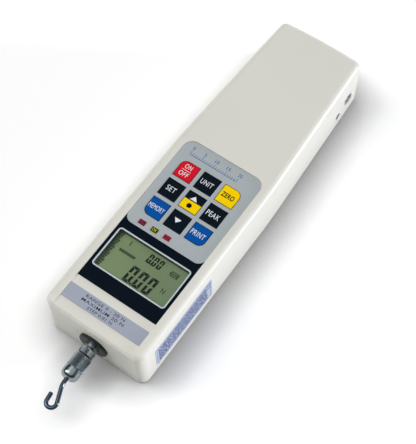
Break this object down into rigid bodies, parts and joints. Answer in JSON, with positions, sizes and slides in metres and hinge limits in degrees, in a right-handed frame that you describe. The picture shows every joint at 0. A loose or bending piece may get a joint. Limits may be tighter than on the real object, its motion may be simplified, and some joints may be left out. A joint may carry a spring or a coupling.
{
  "type": "force gauge",
  "caption": "Hand-held digital force gauge: tapered flat housing with display, keypad and limit lamps, and a wire hook on the measuring spindle at the front.",
  "frame": {"origin": "centre of the four stand holes, on the flat back face", "axes": "+X to the right as the display reads, +Y along the measuring axis towards the rear end, +Z out of the display face; the hook points to -Y"},
  "size_m": [0.0662, 0.2737, 0.036],
  "materials": {
    "housing_paint": "satin",
    "plated_steel": "satin",
    "dark_steel": "satin",
    "nickel": "polished",
    "bare_aluminium": "satin",
    "plate_grey": "satin",
    "plate_navy": "satin",
    "trim_white": "satin",
    "clear_window": "gloss",
    "lcd_green": "satin",
    "black_plastic": "matte",
    "black_collar": "satin",
    "socket_plastic": "satin",
    "circuit_board": "satin",
    "battery_sleeve": "satin",
    "label_film": "satin",
    "key_red": "satin",
    "key_black": "satin",
    "key_yellow": "satin",
    "key_blue": "satin",
    "lamp_red": "gloss",
    "lamp_green": "gloss"
  },
  "bodies": {
    "housing": {"front_cover": "housing_paint", "rear_cover": "housing_paint", "cover_screws": "plated_steel", "stand_inserts": "plated_steel", "rating_plate": "plate_grey", "display_panel": "plate_navy", "window_trim": "trim_white", "display_window": "clear_window", "keypad_plate": "plate_grey", "key_switches": "black_plastic", "lcd_glass": "lcd_green", "lcd_holder": "black_plastic", "main_board": "circuit_board", "board_screws": "plated_steel", "buzzer": "black_plastic", "load_cell": "bare_aluminium", "load_cell_bracket": "bare_aluminium", "load_cell_screws": "dark_steel", "bracket_screws": "dark_steel", "shaft_collar": "black_collar", "collar_nut": "plated_steel", "battery_pack": "battery_sleeve", "battery_tray": "black_plastic", "battery_strap": "black_plastic", "charging_jack": "socket_plastic", "data_port": "socket_plastic", "port_board": "circuit_board", "port_board_screws": "plated_steel", "side_label": "label_film", "lamp_low": "lamp_red", "lamp_ok": "lamp_green", "lamp_high": "lamp_red"},
    "spindle": {"measuring_spindle": "plated_steel"},
    "lock_ring_body": {"lock_ring": "nickel"},
    "attachment": {"hook_adapter": "nickel", "hook": "nickel"},
    "button_on_off": {"key_on_off": "key_red"},
    "button_unit": {"key_unit": "key_black"},
    "button_zero": {"key_zero": "key_yellow"},
    "button_set": {"key_set": "key_black"},
    "button_up": {"key_up": "key_black"},
    "button_peak": {"key_peak": "key_black"},
    "button_memory": {"key_memory": "key_blue"},
    "button_down": {"key_down": "key_black"},
    "button_print": {"key_print": "key_blue"}
  },
  "joints": [
    {"name": "spindle_travel", "type": "slide", "parent": "housing", "child": "spindle", "axis": [0, -1, 0], "range_m": [-0.0003, 0.0003], "stiffness_N_per_m": 60000},
    {"name": "lock_ring_turn", "type": "hinge", "parent": "spindle", "child": "lock_ring_body", "pos_m": [0, -0.1215, 0.0165], "axis": [0, -1, 0], "continuous": true},
    {"name": "hook_turn", "type": "hinge", "parent": "spindle", "child": "attachment", "pos_m": [0, -0.132, 0.0165], "axis": [0, -1, 0], "continuous": true},
    {"name": "press_on_off", "type": "slide", "parent": "housing", "child": "button_on_off", "axis": [0, 0, -1], "range_m": [0, 0.0004], "stiffness_N_per_m": 6000},
    {"name": "press_unit", "type": "slide", "parent": "housing", "child": "button_unit", "axis": [0, 0, -1], "range_m": [0, 0.0004], "stiffness_N_per_m": 6000},
    {"name": "press_zero", "type": "slide", "parent": "housing", "child": "button_zero", "axis": [0, 0, -1], "range_m": [0, 0.0004], "stiffness_N_per_m": 6000},
    {"name": "press_set", "type": "slide", "parent": "housing", "child": "button_set", "axis": [0, 0, -1], "range_m": [0, 0.0004], "stiffness_N_per_m": 6000},
    {"name": "press_up", "type": "slide", "parent": "housing", "child": "button_up", "axis": [0, 0, -1], "range_m": [0, 0.0004], "stiffness_N_per_m": 6000},
    {"name": "press_peak", "type": "slide", "parent": "housing", "child": "button_peak", "axis": [0, 0, -1], "range_m": [0, 0.0004], "stiffness_N_per_m": 6000},
    {"name": "press_memory", "type": "slide", "parent": "housing", "child": "button_memory", "axis": [0, 0, -1], "range_m": [0, 0.0004], "stiffness_N_per_m": 6000},
    {"name": "press_down", "type": "slide", "parent": "housing", "child": "button_down", "axis": [0, 0, -1], "range_m": [0, 0.0004], "stiffness_N_per_m": 6000},
    {"name": "press_print", "type": "slide", "parent": "housing", "child": "button_print", "axis": [0, 0, -1], "range_m": [0, 0.0004], "stiffness_N_per_m": 6000}
  ]
}
